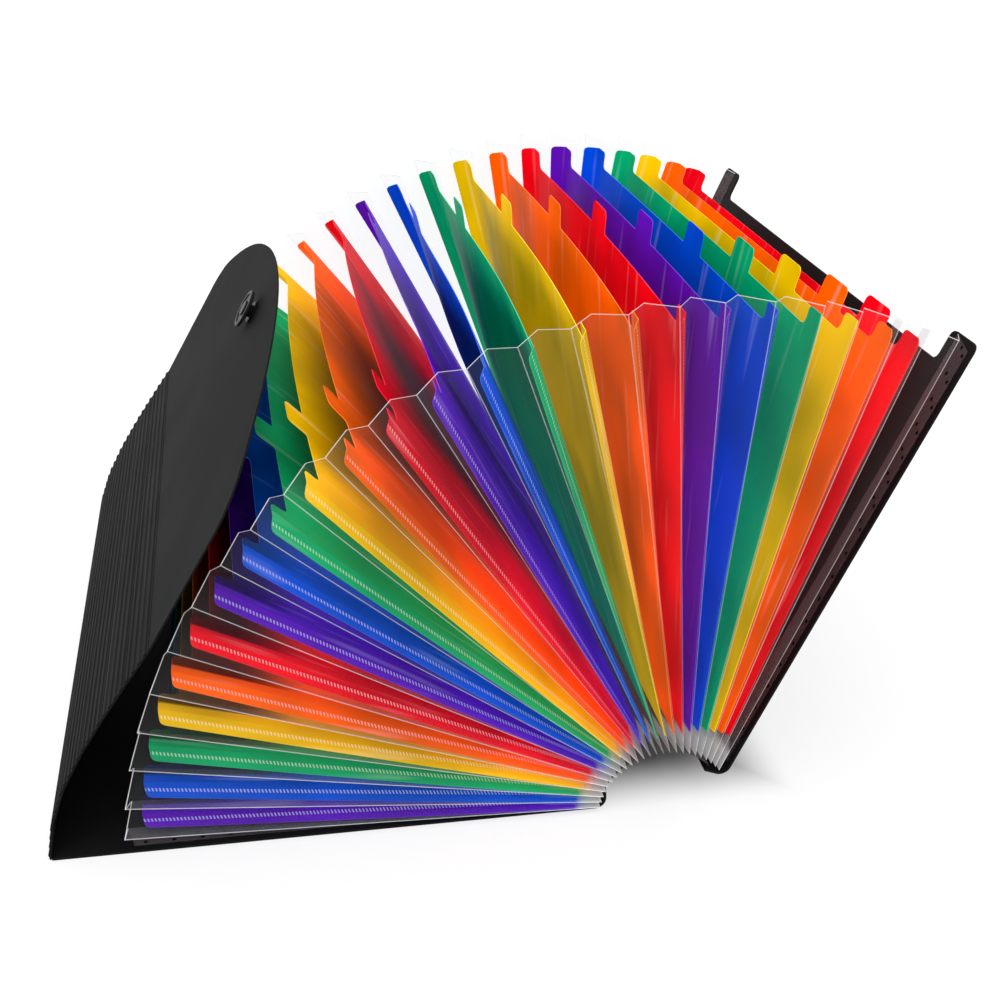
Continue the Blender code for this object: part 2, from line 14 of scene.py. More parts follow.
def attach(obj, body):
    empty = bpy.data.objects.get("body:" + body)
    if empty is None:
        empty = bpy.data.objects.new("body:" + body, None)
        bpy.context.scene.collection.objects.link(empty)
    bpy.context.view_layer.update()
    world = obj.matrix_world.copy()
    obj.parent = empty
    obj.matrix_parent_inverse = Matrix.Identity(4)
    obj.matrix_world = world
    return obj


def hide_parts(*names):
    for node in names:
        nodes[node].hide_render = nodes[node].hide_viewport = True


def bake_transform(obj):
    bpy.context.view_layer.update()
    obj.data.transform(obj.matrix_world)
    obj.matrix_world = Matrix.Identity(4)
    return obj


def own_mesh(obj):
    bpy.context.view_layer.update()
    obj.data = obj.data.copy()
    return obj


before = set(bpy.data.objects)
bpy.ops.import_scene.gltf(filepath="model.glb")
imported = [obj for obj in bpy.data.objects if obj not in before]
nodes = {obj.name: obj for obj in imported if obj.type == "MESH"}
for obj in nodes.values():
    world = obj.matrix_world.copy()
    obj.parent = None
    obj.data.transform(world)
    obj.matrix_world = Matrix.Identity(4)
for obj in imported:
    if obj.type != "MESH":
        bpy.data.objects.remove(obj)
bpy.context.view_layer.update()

# %% [markdown]
# ## Measures of the folder
# The real folder is a fan: every sheet stands on a small arch at the spine and ends on a wide circle at the top.
# The same few numbers place all of it, so they are written once and every piece below reads them. Lengths are in
# metres. X runs from the back cover's outer edge to the front cover, Y along the folder, and Z up.

# %% Measures
HALF_LENGTH = 0.165
COVER_THICKNESS = 0.0012
SHEET_THICKNESS = 0.0004
FILM_THICKNESS = 0.0002
CLEARANCE = 0.0003
FAN_CENTRE = (0.096, -0.0073)
RIDGE_RADIUS = 0.2740
VALLEY_RADIUS = 0.2716
ARCH_CENTRE = (0.0855, -0.0005)
ARCH_RADIUS = 0.0325
ARCH_GROWTH = 0.0025
ARCH_FIRST_DEG = 10.0
ARCH_LAST_DEG = 141.0
FIRST_RIDGE_DEG = 3.5
POCKET_DEGS = (3.7, 4.6, 4.5, 4.5, 4.9, 5.2, 5.1, 4.5, 4.5, 5.0, 4.8, 5.0, 4.9, 4.8, 4.9, 5.2, 4.6, 4.2, 4.7, 4.7,
               3.7, 4.1, 3.0, 3.3)
DIVIDERS = len(POCKET_DEGS)
COLOUR_ORDER = ("violet", "blue", "green", "yellow", "orange", "red")
VALLEY_Y = 0.149
PLEAT_WIDTH = 0.0197
END_FOLD_Y = 0.149
END_FLANGE_Y = 0.162
END_TOP_DROP = 0.004
SHEET_DEPTH = 0.223
RECESS_DROP = 0.0145
EAR_DROP = 0.0050
EAR_CORNER_DROP = 0.0075
TAB_DROP = 0.0025
EAR_WIDTH = 0.0130
EAR_FILLET = 0.0040
CORNER_RADIUS = 0.0025
FLANGE_FOLD_SHARE = 0.33
FLANGE_EDGE_SHARE = 0.70
FLANGE_FOOT_SHARE = 0.97
FAR_FLANGE_SHARE = 0.97
FLANGE_FOOT = 0.004
TAB_WIDTH = 0.026
TAB_ROUND = 0.0035
TAB_FILLET = 0.0015
TAB_STEP = 0.020
TAB_FIRST_Y = -0.112
TABS_PER_ROW = 12
BACK_LIP_X = 0.0565
LIP_BEND = 0.0050
FRONT_FOOT = (0.1190, 0.0138)
FRONT_LEAN_DEG = 68.6


def around(centre, radius, degrees):
    """A point in the XZ plane, at an angle that runs clockwise from -X."""
    a = math.radians(degrees)
    return Vector((centre[0] - radius * math.cos(a), centre[1] + radius * math.sin(a)))


ridge_degrees = [FIRST_RIDGE_DEG]
for step_degrees in POCKET_DEGS:
    ridge_degrees.append(ridge_degrees[-1] + step_degrees)
print("the fan opens over", round(ridge_degrees[-1] - ridge_degrees[0], 1), "degrees")

# %% [markdown]
# ## Lines of the pleats
# A gusset is one strip of film folded to and fro. Its inner folds (valleys) and outer folds (ridges) are straight
# lines from the arch to the circle. Because the film doesn't stretch, each face keeps its width, so a ridge stands
# out further where its two valleys come closer together. That is what gives the fan its deep shadows at the spine.

# %% Pleat lines


def arch_point(place, radius=ARCH_RADIUS, growth=ARCH_GROWTH):
    """A point of the arch at the spine: place 1 is at the first divider, place 24 at the last."""
    share = (place - 1) / (DIVIDERS - 1)
    degrees = ARCH_FIRST_DEG + share * (ARCH_LAST_DEG - ARCH_FIRST_DEG)
    return around(ARCH_CENTRE, radius + share * growth, degrees)


def valley_line(k):
    """Foot and top of the line where the film turns inwards, at divider k."""
    middle = (ridge_degrees[k - 1] + ridge_degrees[k]) / 2
    return arch_point(k), around(FAN_CENTRE, VALLEY_RADIUS, middle)


def ridge_line(k):
    """Foot and top of the plane that ridge k stands in, between dividers k - 1 and k."""
    return arch_point(k - 0.5), around(FAN_CENTRE, RIDGE_RADIUS, ridge_degrees[k - 1])


def pleat_depth(half_pitch):
    return math.sqrt(max(PLEAT_WIDTH**2 - half_pitch**2, (PLEAT_WIDTH / 2) ** 2))


def ridge_depths(k):
    """How far ridge k stands out from its valleys, at the arch and at the top."""
    near_valleys = [valley_line(j) for j in (k - 1, k) if 1 <= j <= DIVIDERS]
    depths = []
    for end, point in enumerate(ridge_line(k)):
        spans = [(line[end] - point).length for line in near_valleys]
        depths.append(pleat_depth(sum(spans) / len(spans)))
    return depths


class Pleat:
    """The frame of divider k: s runs up its valley line, a clockwise across it, y along the folder."""

    def __init__(self, k):
        self.low, self.high = valley_line(k)
        self.height = (self.high - self.low).length
        self.up = (self.high - self.low) / self.height
        self.across = Vector((self.up.y, -self.up.x))
        ridge = ridge_line(k)
        valley = (self.low, self.high)
        self.half = [abs((ridge[end] - valley[end]).dot(self.across)) for end in (0, 1)]
        self.depth = ridge_depths(k)

    def place(self, s, a, y):
        p = self.low + self.up * s + self.across * a
        return Vector((p.x, y, p.y))

    def inside_face(self, s, share, side):
        """(a, y) on the inside of the pleat's face, at a share of its width from valley to ridge."""
        inset = FILM_THICKNESS / 2 + CLEARANCE + SHEET_THICKNESS / 2
        ends = []
        for half, depth in zip(self.half, self.depth):
            width = math.hypot(half, depth)
            ends.append((-share * half - inset * depth / width, VALLEY_Y + share * depth - inset * half / width))
        t = s / self.height
        return ends[0][0] + t * (ends[1][0] - ends[0][0]), side * (ends[0][1] + t * (ends[1][1] - ends[0][1]))


valley_lengths = [round(Pleat(k).height * 1000, 1) for k in (1, DIVIDERS)]
print("the first valley is", valley_lengths[0], "mm long, the last", valley_lengths[1])

# %% [markdown]
# ## A small toolbox for modelling
# Operators act on what is selected, and the frame's own parts come in selected. So each new piece starts from an
# empty selection, and each change to a mesh picks its edges or faces by their place. These helpers keep that short.

# %% Modelling helpers
SHARP_DEG = 30.0
SHEET_SHARP_DEG = 25.0
BEND_SHARP_DEG = 60.0


def alone(obj):
    """Makes obj the only selected object."""
    bpy.ops.object.select_all(action="DESELECT")
    obj.select_set(True)
    bpy.context.view_layer.objects.active = obj
    return obj


def new_grid(name, columns, rows):
    """A grid primitive with that many vertices across (Y) and up (X); its vertices are then set by place_grid."""
    bpy.ops.object.select_all(action="DESELECT")
    bpy.ops.mesh.primitive_grid_add(x_subdivisions=rows - 1, y_subdivisions=columns - 1, size=2.0)
    obj = bpy.context.object
    obj.name = name
    obj.data.name = name
    return obj


def place_grid(obj, columns, rows, where):
    """Moves vertex (row r, column c) of a fresh grid to where(r, c). Gives back the row and column of each vertex."""
    spots = [(round((v.co.x + 1) / 2 * (rows - 1)), round((v.co.y + 1) / 2 * (columns - 1)))
             for v in obj.data.vertices]
    for v, (r, c) in zip(obj.data.vertices, spots):
        v.co = where(r, c)
    obj.data.update()
    return spots


def fresh_map(obj, name):
    """Gives a piece one empty UV map in place of the one that its primitive came with."""
    while obj.data.uv_layers:
        obj.data.uv_layers.remove(obj.data.uv_layers[0])
    return obj.data.uv_layers.new(name=name)


def thicken(obj, thickness, rim_slot=0):
    """Gives a surface its thickness, half to each side. The rim takes the material that many slots further on."""
    alone(obj)
    wall = obj.modifiers.new("Solidify", "SOLIDIFY")
    wall.thickness = thickness
    wall.offset = 0.0
    wall.use_even_offset = True
    wall.material_offset_rim = rim_slot
    bpy.ops.object.modifier_apply(modifier=wall.name)
    return obj


def give(obj, *materials):
    """Gives a piece its materials, in slots."""
    obj.data.materials.clear()
    for m in materials:
        obj.data.materials.append(m)
    return obj


def smooth(obj, degrees=SHARP_DEG):
    alone(obj)
    bpy.ops.object.shade_smooth_by_angle(angle=math.radians(degrees))
    return obj


def dress(node, material):
    """Gives a CAD node that stays in view its finish."""
    obj = nodes[node]
    give(obj, material)
    return smooth(obj)


# %% [markdown]
# ## Effects that several finishes share
# Each effect is a node group, made once with named inputs and outputs. Fine grain is the pebbled surface that a
# roller presses into black polypropylene. Handling is the soft mottling and the hair scratches that any plastic
# sheet shows, and long streaks of painted sheen, lighter bands that stand for gloss along a sheet. A weld row is the
# line of short slanted marks that a heated wheel leaves where a sheet is welded to the film. Groups give only masks
# and heights, and the shader stays in each material.

# %% Node group helpers


def new_group(name, inputs, outputs):
    tree = bpy.data.node_groups.new(name, "ShaderNodeTree")
    for label, kind, value in inputs:
        socket = tree.interface.new_socket(name=label, in_out="INPUT", socket_type=kind)
        if value is not None:
            socket.default_value = value
    for label, kind in outputs:
        tree.interface.new_socket(name=label, in_out="OUTPUT", socket_type=kind)
    return tree, tree.nodes.new("NodeGroupInput"), tree.nodes.new("NodeGroupOutput")


def sock(item):
    """The first output of a node, or the socket itself."""
    return item.outputs[0] if hasattr(item, "outputs") else item


def feed(tree, socket, value):
    if hasattr(value, "outputs") or isinstance(value, bpy.types.NodeSocket):
        tree.links.new(sock(value), socket)
    else:
        socket.default_value = value


def math_node(tree, operation, a, b=0.0, c=0.0):
    node = tree.nodes.new("ShaderNodeMath")
    node.operation = operation
    for socket, value in zip(node.inputs, (a, b, c)):
        feed(tree, socket, value)
    return node.outputs[0]


def smoothly(tree, value, low, high, out_low=0.0, out_high=1.0):
    """Maps value from low..high to out_low..out_high with soft ends."""
    node = tree.nodes.new("ShaderNodeMapRange")
    node.interpolation_type = "SMOOTHSTEP"
    for socket, v in zip(node.inputs, (value, low, high, out_low, out_high)):
        feed(tree, socket, v)
    return node.outputs[0]


def noise(tree, vector, scale, detail, roughness=0.5):
    node = tree.nodes.new("ShaderNodeTexNoise")
    node.inputs["Scale"].default_value = scale
    node.inputs["Detail"].default_value = detail
    node.inputs["Roughness"].default_value = roughness
    tree.links.new(vector, node.inputs["Vector"])
    return node.outputs[0]


def mapped(tree, vector, scale, turn=(0.0, 0.0, 0.0)):
    """A vector turned and then stretched, so that the pattern on it becomes long or short along an axis."""
    node = tree.nodes.new("ShaderNodeMapping")
    node.inputs["Rotation"].default_value = turn
    node.inputs["Scale"].default_value = scale
    tree.links.new(vector, node.inputs["Vector"])
    return node.outputs[0]


def colour_mix(tree, factor, a, b):
    node = tree.nodes.new("ShaderNodeMix")
    node.data_type = "RGBA"
    feed(tree, node.inputs[0], factor)
    feed(tree, node.inputs[6], a)
    feed(tree, node.inputs[7], b)
    return node.outputs[2]


# %% Grain, handling and weld groups
FLOAT, VECTOR = "NodeSocketFloat", "NodeSocketVector"
GRAIN_CLOUDS, MOTTLE_SCALE, RIPPLE_SCALE = 45.0, 14.0, 26.0
SCRATCH_TURN, SCRATCH_STRETCH = (0.3, 0.5, 0.7), (30.0, 900.0, 30.0)
STREAK_TURN, STREAK_STRETCH = (0.10, 0.0, 0.0), (13.0, 130.0, 13.0)
DASH_SOFTNESS = 0.12

grain_group, g_in, g_out = new_group(
    "fine_grain", [("Vector", VECTOR, None), ("Scale", FLOAT, 1400.0)], [("Height", FLOAT), ("Tone", FLOAT)])
cells = grain_group.nodes.new("ShaderNodeTexVoronoi")
cells.feature = "SMOOTH_F1"
grain_group.links.new(g_in.outputs["Vector"], cells.inputs["Vector"])
grain_group.links.new(g_in.outputs["Scale"], cells.inputs["Scale"])
cloudy = noise(grain_group, g_in.outputs["Vector"], GRAIN_CLOUDS, 3.0)
grain_group.links.new(math_node(grain_group, "SUBTRACT", 1.0, cells.outputs[0]), g_out.inputs["Height"])
grain_group.links.new(smoothly(grain_group, cloudy, 0.3, 0.7), g_out.inputs["Tone"])

handling_and_sheen_group, h_in, h_out = new_group(
    "handling_and_sheen", [("Vector", VECTOR, None)],
    [("Mottle", FLOAT), ("Scratches", FLOAT), ("Streaks", FLOAT), ("Height", FLOAT)])
slow = noise(handling_and_sheen_group, h_in.outputs["Vector"], MOTTLE_SCALE, 2.0)
handling_and_sheen_group.links.new(smoothly(handling_and_sheen_group, slow, 0.35, 0.65), h_out.inputs["Mottle"])
hair_space = mapped(handling_and_sheen_group, h_in.outputs["Vector"], SCRATCH_STRETCH, SCRATCH_TURN)
hair = noise(handling_and_sheen_group, hair_space, 1.0, 3.0, 0.6)
handling_and_sheen_group.links.new(smoothly(handling_and_sheen_group, hair, 0.62, 0.78), h_out.inputs["Scratches"])
# Painted sheen: long streaks, which the sheets mix into their colour as lighter bands that stand for gloss.
streak_space = mapped(handling_and_sheen_group, h_in.outputs["Vector"], STREAK_STRETCH, STREAK_TURN)
gloss = noise(handling_and_sheen_group, streak_space, 1.0, 1.0)
handling_and_sheen_group.links.new(smoothly(handling_and_sheen_group, gloss, 0.60, 0.76), h_out.inputs["Streaks"])
ripple = noise(handling_and_sheen_group, h_in.outputs["Vector"], RIPPLE_SCALE, 1.0)
handling_and_sheen_group.links.new(ripple, h_out.inputs["Height"])

weld_group, w_in, w_out = new_group(
    "weld_row",
    [("UV", VECTOR, None), ("Middle", FLOAT, 0.0036), ("Pitch", FLOAT, 0.0017), ("Half Length", FLOAT, 0.0008),
     ("Slant", FLOAT, 0.45), ("Dash Share", FLOAT, 0.16)],
    [("Mask", FLOAT)])
split = weld_group.nodes.new("ShaderNodeSeparateXYZ")
weld_group.links.new(w_in.outputs["UV"], split.inputs[0])
from_middle = math_node(weld_group, "SUBTRACT", split.outputs[0], w_in.outputs["Middle"])
slanted = math_node(weld_group, "MULTIPLY_ADD", from_middle, w_in.outputs["Slant"], split.outputs[1])
phase = math_node(weld_group, "FRACT", math_node(weld_group, "DIVIDE", slanted, w_in.outputs["Pitch"]))
off_centre = math_node(weld_group, "ABSOLUTE", math_node(weld_group, "SUBTRACT", phase, 0.5))
dash = smoothly(weld_group, off_centre, w_in.outputs["Dash Share"],
                math_node(weld_group, "ADD", w_in.outputs["Dash Share"], DASH_SOFTNESS), 1.0, 0.0)
reach = math_node(weld_group, "DIVIDE", math_node(weld_group, "ABSOLUTE", from_middle), w_in.outputs["Half Length"])
ends = smoothly(weld_group, reach, 0.8, 1.1, 1.0, 0.0)
weld_group.links.new(math_node(weld_group, "MULTIPLY", dash, ends), w_out.inputs["Mask"])
print("node groups:", [g.name for g in bpy.data.node_groups])

# %% [markdown]
# ## Finishes
# Each family of finishes comes from one function and a few numbers. These helpers add a node or two each.

# %% Finish helpers
PLASTIC_IOR = 1.49
BUMP_DEPTH = 0.002


def new_material(name):
    m = bpy.data.materials.new(name)
    m.use_nodes = True
    return m, m.node_tree, m.node_tree.nodes["Principled BSDF"], m.node_tree.nodes["Material Output"]


def group_node(tree, group, vector_output, label="Vector", **values):
    node = tree.nodes.new("ShaderNodeGroup")
    node.node_tree = group
    tree.links.new(vector_output, node.inputs[label])
    for key, value in values.items():
        node.inputs[key.replace("_", " ")].default_value = value
    return node


def object_coordinates(tree):
    return tree.nodes.new("ShaderNodeTexCoord").outputs["Object"]


def bump(tree, height, strength, distance):
    node = tree.nodes.new("ShaderNodeBump")
    node.inputs["Strength"].default_value = strength
    node.inputs["Distance"].default_value = distance
    tree.links.new(sock(height), node.inputs["Height"])
    return node.outputs[0]


def mix_shader(tree, factor, a, b):
    node = tree.nodes.new("ShaderNodeMixShader")
    feed(tree, node.inputs[0], factor)
    tree.links.new(a, node.inputs[1])
    tree.links.new(b, node.inputs[2])
    return node.outputs[0]


def coordinates_of_map(tree, name):
    """A UV map's coordinates, whole and split into u and v."""
    uv = tree.nodes.new("ShaderNodeUVMap")
    uv.uv_map = name
    return uv.outputs[0], split_vector(tree, uv.outputs[0])


def split_vector(tree, vector):
    node = tree.nodes.new("ShaderNodeSeparateXYZ")
    tree.links.new(vector, node.inputs[0])
    return node.outputs


def seen_directly(tree):
    """1 for camera, glossy and transmitted rays, 0 for the rays that light the folder."""
    path = tree.nodes.new("ShaderNodeLightPath").outputs
    seen = math_node(tree, "MAXIMUM", path["Is Camera Ray"], path["Is Glossy Ray"])
    return math_node(tree, "MAXIMUM", seen, path["Is Transmission Ray"])


def tone(colour, amount):
    """A colour mixed towards white."""
    return (*[c + (1 - c) * amount for c in colour], 1.0)


def shade(colour, amount):
    """A colour at a share of its strength."""
    return (*[c * amount for c in colour], 1.0)


# %% [markdown]
# ### Coloured sheets
# Light that falls on the back of a translucent sheet comes out of the front in the sheet's own colour, so a
# Translucent shader is mixed with the Principled one. A painted glow, which fades deep in the pockets and under the
# flap, stands for light that has crossed several sheets, and there the colour is painted darker too, as painted
# shade. The rim is painted lighter and given a painted glow, for the light that cut edges gather.

# %% Coloured sheet and its edge
SHEET_COLOURS = {
    "violet": (0.175, 0.010, 0.66),
    "blue": (0.000, 0.130, 0.82),
    "green": (0.000, 0.56, 0.235),
    "yellow": (1.00, 0.72, 0.000),
    "orange": (1.000, 0.200, 0.000),
    "red": (0.95, 0.001, 0.018),
}
TRANSLUCENT_SHARE = 0.42
SHEET_ROUGHNESS = 0.28
SHEET_SHINE = 0.012
# The sheets' painted glow, and the share of their colour that painted shade leaves deep in the pockets.
SHEET_PAINTED_GLOW = 0.34
PAINTED_SHADE_TONE = 0.34
MOTTLE_TONE = 0.76
# Painted sheen: the share and the lighter colour of the gloss streaks.
PAINTED_SHEEN_SHARE, PAINTED_SHEEN_TONE = 0.28, 0.60
WELD_TONE = 0.50
SCRATCH_ROUGHNESS = 0.14
# Cut edges: the rim's lighter colour and its glow are painted light.
EDGE_PAINTED_LIGHT_TONE, EDGE_ROUGHNESS, EDGE_PAINTED_GLOW = 0.06, 0.3, 0.15
# Where painted light gets in and painted shade ends, from nothing to all of it: heights up a sheet, distances from
# the middle of the folder along Y, and places along X.
LIT_FROM_TOP = (0.150, 0.228)
LIT_FROM_ENDS = (0.045, 0.135)
LIT_FLANGE = (0.1475, 0.1495)
OPEN_TO_SKY = (-0.125, -0.085)
OPEN_FAN = (-0.030, 0.060)
OPEN_FAN_LIGHT = 0.80


def daylight(tree, where, climb):
    """How much light a point of a sheet gets, which sets its painted glow and painted shade: in at the open top and
    the clear ends, less of it under the flap.
    """
    x, y, _ = split_vector(tree, where)
    from_top = smoothly(tree, climb, *LIT_FROM_TOP)
    out_from_middle = math_node(tree, "ABSOLUTE", y)
    from_ends = smoothly(tree, out_from_middle, *LIT_FROM_ENDS)
    open_sky = smoothly(tree, x, *OPEN_TO_SKY)
    inside = math_node(tree, "MULTIPLY", math_node(tree, "MAXIMUM", from_top, from_ends), open_sky)
    inside = math_node(tree, "MAXIMUM", inside, smoothly(tree, x, *OPEN_FAN, 0.0, OPEN_FAN_LIGHT))
    return math_node(tree, "MAXIMUM", inside, smoothly(tree, out_from_middle, *LIT_FLANGE))


def sheet_finish(name, colour):
    m, tree, shader, out = new_material(f"{name}_polypropylene")
    where = object_coordinates(tree)
    wear_and_sheen = group_node(tree, handling_and_sheen_group, where)
    uv, (_, climb, _) = coordinates_of_map(tree, "Weld")
    weld = group_node(tree, weld_group, uv, "UV")
    lit = daylight(tree, where, climb)
    base = colour_mix(tree, wear_and_sheen.outputs["Mottle"], shade(colour, MOTTLE_TONE), (*colour, 1.0))
    # Painted sheen: the colour is mixed lighter along the long streaks.
    painted_sheen = math_node(tree, "MULTIPLY", wear_and_sheen.outputs["Streaks"], PAINTED_SHEEN_SHARE)
    base = colour_mix(tree, painted_sheen, base, tone(colour, PAINTED_SHEEN_TONE))
    base = colour_mix(tree, weld.outputs["Mask"], base, tone(colour, WELD_TONE))
    # Painted shade: the colour darkens deep in the pockets and under the flap, where less light is painted in.
    base = colour_mix(tree, lit, shade(colour, PAINTED_SHADE_TONE), base)
    tree.links.new(base, shader.inputs["Base Color"])
    rough = smoothly(tree, wear_and_sheen.outputs["Scratches"], 0.0, 1.0, SHEET_ROUGHNESS, SHEET_ROUGHNESS + SCRATCH_ROUGHNESS)
    tree.links.new(rough, shader.inputs["Roughness"])
    shader.inputs["IOR"].default_value = PLASTIC_IOR
    shader.inputs["Specular IOR Level"].default_value = SHEET_SHINE
    tree.links.new(bump(tree, wear_and_sheen.outputs["Height"], 0.25, BUMP_DEPTH), shader.inputs["Normal"])
    glow = tree.nodes.new("ShaderNodeBsdfTranslucent")
    tree.links.new(base, glow.inputs["Color"])
    # Painted glow: the sheet glows in its own colour where light is painted in.
    tree.links.new(math_node(tree, "MULTIPLY", lit, SHEET_PAINTED_GLOW), shader.inputs["Emission Strength"])
    tree.links.new(base, shader.inputs["Emission Color"])
    tree.links.new(mix_shader(tree, TRANSLUCENT_SHARE, shader.outputs[0], glow.outputs[0]), out.inputs["Surface"])
    return m


def edge_finish(name, colour):
    m, tree, shader, out = new_material(f"{name}_cut_edge")
    wear_and_sheen = group_node(tree, handling_and_sheen_group, object_coordinates(tree))
    # Painted light: the rim is mixed towards a lighter colour and glows with it.
    light = tone(colour, EDGE_PAINTED_LIGHT_TONE)
    tree.links.new(colour_mix(tree, wear_and_sheen.outputs["Mottle"], (*colour, 1.0), light),
                   shader.inputs["Base Color"])
    shader.inputs["Roughness"].default_value = EDGE_ROUGHNESS
    shader.inputs["Emission Color"].default_value = light
    shader.inputs["Emission Strength"].default_value = EDGE_PAINTED_GLOW
    shader.inputs["Specular IOR Level"].default_value = SHEET_SHINE
    return m


sheet_finishes = {name: sheet_finish(name, colour) for name, colour in SHEET_COLOURS.items()}
edge_finishes = {name: edge_finish(name, colour) for name, colour in SHEET_COLOURS.items()}

# %% [markdown]
# ### Clear film
# The film is mostly a Transparent shader, with a thin milky and glossy part that grows at grazing angles, and a
# faint painted glow. Where the folds crowd together at the arch it turns milky and is painted grey, as painted shade
# for the light lost through many layers. It is white along each ridge, because a fold scatters light. A map on each
# pleat tells how far a point is from the ridge and how high it stands.

# %% Clear film and its creases
FILM_CLEAR = (0.935, 0.937, 0.944, 1.0)
ARCH_VEIL_LOW = 0.009
ARCH_VEIL_HIGH = 0.014
# Painted shade: the grey of the film at the arch, for light lost through many layers.
ARCH_SHADE_GREY = (0.62, 0.61, 0.615)
CREASE_HALF = 0.00045
CREASE_WHITE = (0.98, 0.99, 1.0)
CREASE_VEIL = 0.34
LINE_SOFTNESS = 0.2
GRAZING_BLEND = 0.35
MOST_VEIL = 0.92
FILM_MOTTLE = 0.93


def film_finish(name, veil, tint, roughness, fresnel_gain, lift, arch_veil=0.0):
    """Clear film: veil is the share of light that it scatters seen square on, arch_veil what it adds at the arch,
    and lift a painted glow, for the light that it gathers from its edges. Film with an arch is also painted grey
    there, as painted shade, and has the white line of its ridge."""
    m, tree, shader, out = new_material(name)
    wear_and_sheen = group_node(tree, handling_and_sheen_group, object_coordinates(tree))
    base = colour_mix(tree, wear_and_sheen.outputs["Mottle"], shade(tint, FILM_MOTTLE), (*tint, 1.0))
    if arch_veil:
        _, (from_ridge, climb, _) = coordinates_of_map(tree, "Pleat")
        at_arch = smoothly(tree, climb, ARCH_VEIL_LOW, ARCH_VEIL_HIGH, 1.0, 0.0)
        # Painted shade: the film turns grey at the arch.
        base = colour_mix(tree, at_arch, base, (*ARCH_SHADE_GREY, 1.0))
        at_ridge = smoothly(tree, from_ridge, CREASE_HALF * (1 - LINE_SOFTNESS), CREASE_HALF * (1 + LINE_SOFTNESS),
                            1.0, 0.0)
        base = colour_mix(tree, at_ridge, base, (*CREASE_WHITE, 1.0))
    tree.links.new(base, shader.inputs["Base Color"])
    # Painted glow: the film glows in its own colour, by lift.
    tree.links.new(base, shader.inputs["Emission Color"])
    shader.inputs["Emission Strength"].default_value = lift
    shader.inputs["Roughness"].default_value = roughness
    shader.inputs["IOR"].default_value = PLASTIC_IOR
    tree.links.new(bump(tree, wear_and_sheen.outputs["Height"], 0.2, BUMP_DEPTH), shader.inputs["Normal"])
    clear = tree.nodes.new("ShaderNodeBsdfTransparent")
    clear.inputs["Color"].default_value = FILM_CLEAR
    weight = tree.nodes.new("ShaderNodeLayerWeight")
    weight.inputs["Blend"].default_value = GRAZING_BLEND
    amount = math_node(tree, "MULTIPLY_ADD", weight.outputs["Fresnel"], fresnel_gain, veil)
    if arch_veil:
        amount = math_node(tree, "MULTIPLY_ADD", at_arch, arch_veil, amount)
        amount = math_node(tree, "MULTIPLY_ADD", at_ridge, CREASE_VEIL, amount)
    amount = math_node(tree, "MINIMUM", amount, MOST_VEIL)
    tree.links.new(mix_shader(tree, amount, clear.outputs[0], shader.outputs[0]), out.inputs["Surface"])
    return m


# Each film's lift is its painted glow.
clear_film = film_finish("clear_film", 0.022, (0.70, 0.72, 0.75), roughness=0.10, fresnel_gain=0.09, lift=0.14,
                         arch_veil=0.66)
# The foot and cut-edge bands carry painted light: a milky, whiter colour and a glow.
film_foot = film_finish("film_foot", 0.70, (0.72, 0.72, 0.72), roughness=0.22, fresnel_gain=0.2, lift=0.15)
film_edge = film_finish("film_cut_edge", 0.55, (0.96, 0.97, 0.98), roughness=0.25, fresnel_gain=0.3, lift=0.35)
# Painted shade: the liner film is nearly opaque and dark brown-grey, for the dim tunnel under the arch.
liner_painted_shade_film = film_finish("spine_liner_film", 0.90, (0.13, 0.122, 0.115), roughness=0.35, fresnel_gain=0.1, lift=0.0)

# %% [markdown]
# ### Film on the covers
# The film's ends lie flat on the covers, held by pairs of spot welds, where the black shows through as a dark dot.

# %% Film on the covers, with its spot welds
BLACK_SHINE = 0.05
DOT_PITCH = 0.0133
DOT_RADIUS = 0.0012
DOT_PLACES = ((0.0022, 0.0), (0.0058, 0.0030))
DOT_BLACK = (0.003, 0.003, 0.003, 1.0)
STRIP_DARK, STRIP_LIGHT = (0.20, 0.165, 0.17, 1.0), (0.27, 0.225, 0.23, 1.0)
STRIP_VEIL, DOT_VEIL = 0.30, 0.95


def dot_distance(tree, from_edge, climb, place):
    """How far a point of the strip is from the nearest spot weld of one row."""
    along = math_node(tree, "DIVIDE", math_node(tree, "SUBTRACT", climb, place[1]), DOT_PITCH)
    along = math_node(tree, "SUBTRACT", math_node(tree, "FRACT", along), 0.5)
    along = math_node(tree, "MULTIPLY", along, DOT_PITCH)
    over = math_node(tree, "SUBTRACT", from_edge, place[0])
    squares = math_node(tree, "MULTIPLY_ADD", over, over, math_node(tree, "MULTIPLY", along, along))
    return math_node(tree, "SQRT", squares)


def end_strip_finish():
    m, tree, shader, out = new_material("film_end_strip")
    wear_and_sheen = group_node(tree, handling_and_sheen_group, object_coordinates(tree))
    _, (from_edge, climb, _) = coordinates_of_map(tree, "Pleat")
    near = math_node(tree, "MINIMUM", *[dot_distance(tree, from_edge, climb, place) for place in DOT_PLACES])
    dot = smoothly(tree, near, DOT_RADIUS * 0.7, DOT_RADIUS * 1.2, 1.0, 0.0)
    film = colour_mix(tree, wear_and_sheen.outputs["Mottle"], STRIP_DARK, STRIP_LIGHT)
    tree.links.new(colour_mix(tree, dot, film, DOT_BLACK), shader.inputs["Base Color"])
    shader.inputs["Roughness"].default_value = 0.5
    shader.inputs["Specular IOR Level"].default_value = BLACK_SHINE
    clear = tree.nodes.new("ShaderNodeBsdfTransparent")
    amount = smoothly(tree, dot, 0.0, 1.0, STRIP_VEIL, DOT_VEIL)
    tree.links.new(mix_shader(tree, amount, clear.outputs[0], shader.outputs[0]), out.inputs["Surface"])
    return m


end_strip = end_strip_finish()

# %% [markdown]
# ### Black plastics
# The covers and the flap have a fine grain that keeps reflections low, and the ribbed zone has painted sheen: fine
# lighter lines along the ribs.

